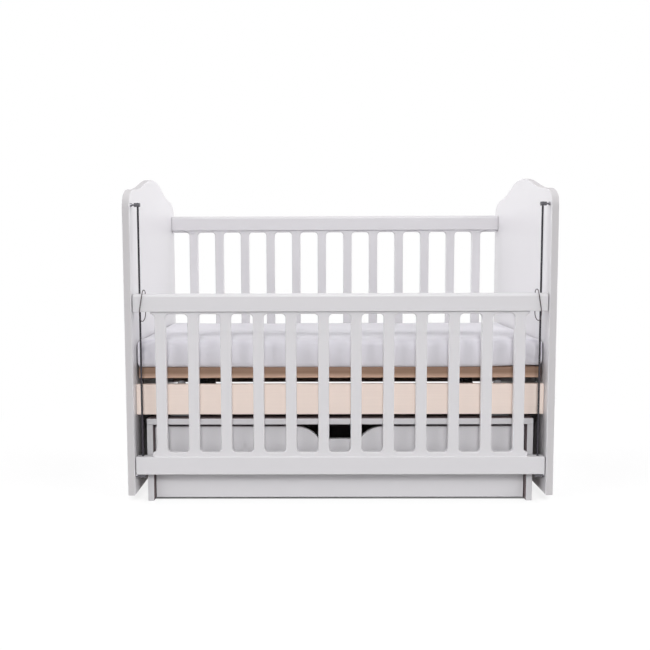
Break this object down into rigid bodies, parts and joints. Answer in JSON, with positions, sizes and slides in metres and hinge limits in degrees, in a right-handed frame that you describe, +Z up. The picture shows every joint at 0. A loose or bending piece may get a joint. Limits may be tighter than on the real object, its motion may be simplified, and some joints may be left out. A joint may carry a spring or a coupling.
{
  "type": "baby crib",
  "caption": "White swinging baby crib with camelback end panels, a drop side on steel guide rods, a mattress, and a separate base case with a drawer.",
  "frame": {"origin": "on the floor, midway between the end panels and midway between their front and back edges", "axes": "+X along the crib to the right, +Y to the back side, +Z up"},
  "size_m": [1.264, 0.7, 0.99],
  "materials": {
    "white_board": "satin",
    "beige_beam": "matte",
    "natural_wood": "matte",
    "chromed_steel": "polished",
    "zinc_steel": "satin",
    "mattress_cloth": "matte",
    "wheel_plastic": "matte",
    "drawer_panel": "matte"
  },
  "bodies": {
    "base": {"base_side_left": "white_board", "base_side_right": "white_board", "base_top": "white_board", "base_stretcher": "white_board", "swing_stand_front_left": "zinc_steel", "swing_stand_front_right": "zinc_steel", "swing_stand_back_left": "zinc_steel", "swing_stand_back_right": "zinc_steel"},
    "link_front_left": {"swing_link_front_left": "zinc_steel"},
    "link_front_right": {"swing_link_front_right": "zinc_steel"},
    "link_back_left": {"swing_link_back_left": "zinc_steel"},
    "link_back_right": {"swing_link_back_right": "zinc_steel"},
    "crib": {"end_panel_left": "white_board", "end_panel_right": "white_board", "beam_front": "beige_beam", "beam_back": "beige_beam", "back_slats": "white_board", "back_top_rail": "white_board", "back_bottom_rail": "white_board", "guide_rod_left": "chromed_steel", "guide_rod_right": "chromed_steel", "rod_eye_top_left": "zinc_steel", "rod_eye_top_right": "zinc_steel", "rod_eye_bottom_left": "zinc_steel", "rod_eye_bottom_right": "zinc_steel", "platform_rail_front": "natural_wood", "platform_rail_back": "natural_wood", "platform_end_left": "natural_wood", "platform_end_right": "natural_wood", "platform_slat_1": "natural_wood", "platform_slat_2": "natural_wood", "platform_slat_3": "natural_wood", "platform_slat_4": "natural_wood", "platform_slat_5": "natural_wood", "platform_slat_6": "natural_wood", "platform_slat_7": "natural_wood", "platform_slat_8": "natural_wood", "platform_bracket_front_left": "zinc_steel", "platform_bracket_front_right": "zinc_steel", "platform_bracket_back_left": "zinc_steel", "platform_bracket_back_right": "zinc_steel", "swing_hanger_front_left": "zinc_steel", "swing_hanger_front_right": "zinc_steel", "swing_hanger_back_left": "zinc_steel", "swing_hanger_back_right": "zinc_steel", "mattress": "mattress_cloth"},
    "drop_side": {"drop_side_slats": "white_board", "drop_side_top_rail": "white_board", "drop_side_bottom_rail": "white_board"},
    "latch_left": {"latch_wire_left": "chromed_steel"},
    "latch_right": {"latch_wire_right": "chromed_steel"},
    "drawer": {"drawer_front": "white_board", "drawer_back": "white_board", "drawer_bottom": "drawer_panel", "drawer_side_left": "white_board", "drawer_side_right": "white_board"},
    "wheel_front_left": {"drawer_wheel_front_left": "wheel_plastic"},
    "wheel_front_right": {"drawer_wheel_front_right": "wheel_plastic"},
    "wheel_back_left": {"drawer_wheel_back_left": "wheel_plastic"},
    "wheel_back_right": {"drawer_wheel_back_right": "wheel_plastic"}
  },
  "joints": [
    {"name": "link_front_left_pivot", "type": "hinge", "parent": "base", "child": "link_front_left", "pos_m": [-0.48, -0.2832, 0.348], "axis": [0, 1, 0], "range_deg": [-22, 22]},
    {"name": "swing", "type": "hinge", "parent": "link_front_left", "child": "crib", "pos_m": [-0.48, -0.2832, 0.283], "axis": [0, 1, 0], "range_deg": [-22, 22]},
    {"name": "link_front_right_pivot", "type": "hinge", "parent": "base", "child": "link_front_right", "pos_m": [0.48, -0.2832, 0.348], "axis": [0, 1, 0], "range_deg": [-22, 22]},
    {"name": "link_back_left_pivot", "type": "hinge", "parent": "base", "child": "link_back_left", "pos_m": [-0.48, 0.2612, 0.348], "axis": [0, 1, 0], "range_deg": [-22, 22]},
    {"name": "link_back_right_pivot", "type": "hinge", "parent": "base", "child": "link_back_right", "pos_m": [0.48, 0.2612, 0.348], "axis": [0, 1, 0], "range_deg": [-22, 22]},
    {"name": "drop_side_slide", "type": "slide", "parent": "crib", "child": "drop_side", "axis": [0, 0, 1], "range_m": [0, 0.245]},
    {"name": "latch_left_turn", "type": "hinge", "parent": "drop_side", "child": "latch_left", "pos_m": [-0.5725, -0.332, 0.629], "axis": [0, 0, 1], "range_deg": [0, 50]},
    {"name": "latch_right_turn", "type": "hinge", "parent": "drop_side", "child": "latch_right", "pos_m": [0.5725, -0.332, 0.629], "axis": [0, 0, -1], "range_deg": [0, 50]},
    {"name": "drawer_slide", "type": "slide", "parent": "base", "child": "drawer", "axis": [0, -1, 0], "range_m": [-0.4, 0.024]},
    {"name": "wheel_front_left_roll", "type": "hinge", "parent": "drawer", "child": "wheel_front_left", "pos_m": [-0.5505, -0.2187, 0.015], "axis": [1, 0, 0], "range_deg": [-1540, 100]},
    {"name": "wheel_front_right_roll", "type": "hinge", "parent": "drawer", "child": "wheel_front_right", "pos_m": [0.5505, -0.2187, 0.015], "axis": [1, 0, 0], "range_deg": [-1540, 100]},
    {"name": "wheel_back_left_roll", "type": "hinge", "parent": "drawer", "child": "wheel_back_left", "pos_m": [-0.5505, 0.219, 0.015], "axis": [1, 0, 0], "range_deg": [-1540, 100]},
    {"name": "wheel_back_right_roll", "type": "hinge", "parent": "drawer", "child": "wheel_back_right", "pos_m": [0.5505, 0.219, 0.015], "axis": [1, 0, 0], "range_deg": [-1540, 100]}
  ],
  "couplings": [
    {"joint": "link_front_left_pivot", "follows": "swing", "ratio": -1},
    {"joint": "link_front_right_pivot", "follows": "swing", "ratio": -1},
    {"joint": "link_back_left_pivot", "follows": "swing", "ratio": -1},
    {"joint": "link_back_right_pivot", "follows": "swing", "ratio": -1},
    {"joint": "wheel_front_left_roll", "follows": "drawer_slide", "rad_per_m": 66.667},
    {"joint": "wheel_front_right_roll", "follows": "drawer_slide", "rad_per_m": 66.667},
    {"joint": "wheel_back_left_roll", "follows": "drawer_slide", "rad_per_m": 66.667},
    {"joint": "wheel_back_right_roll", "follows": "drawer_slide", "rad_per_m": 66.667}
  ]
}
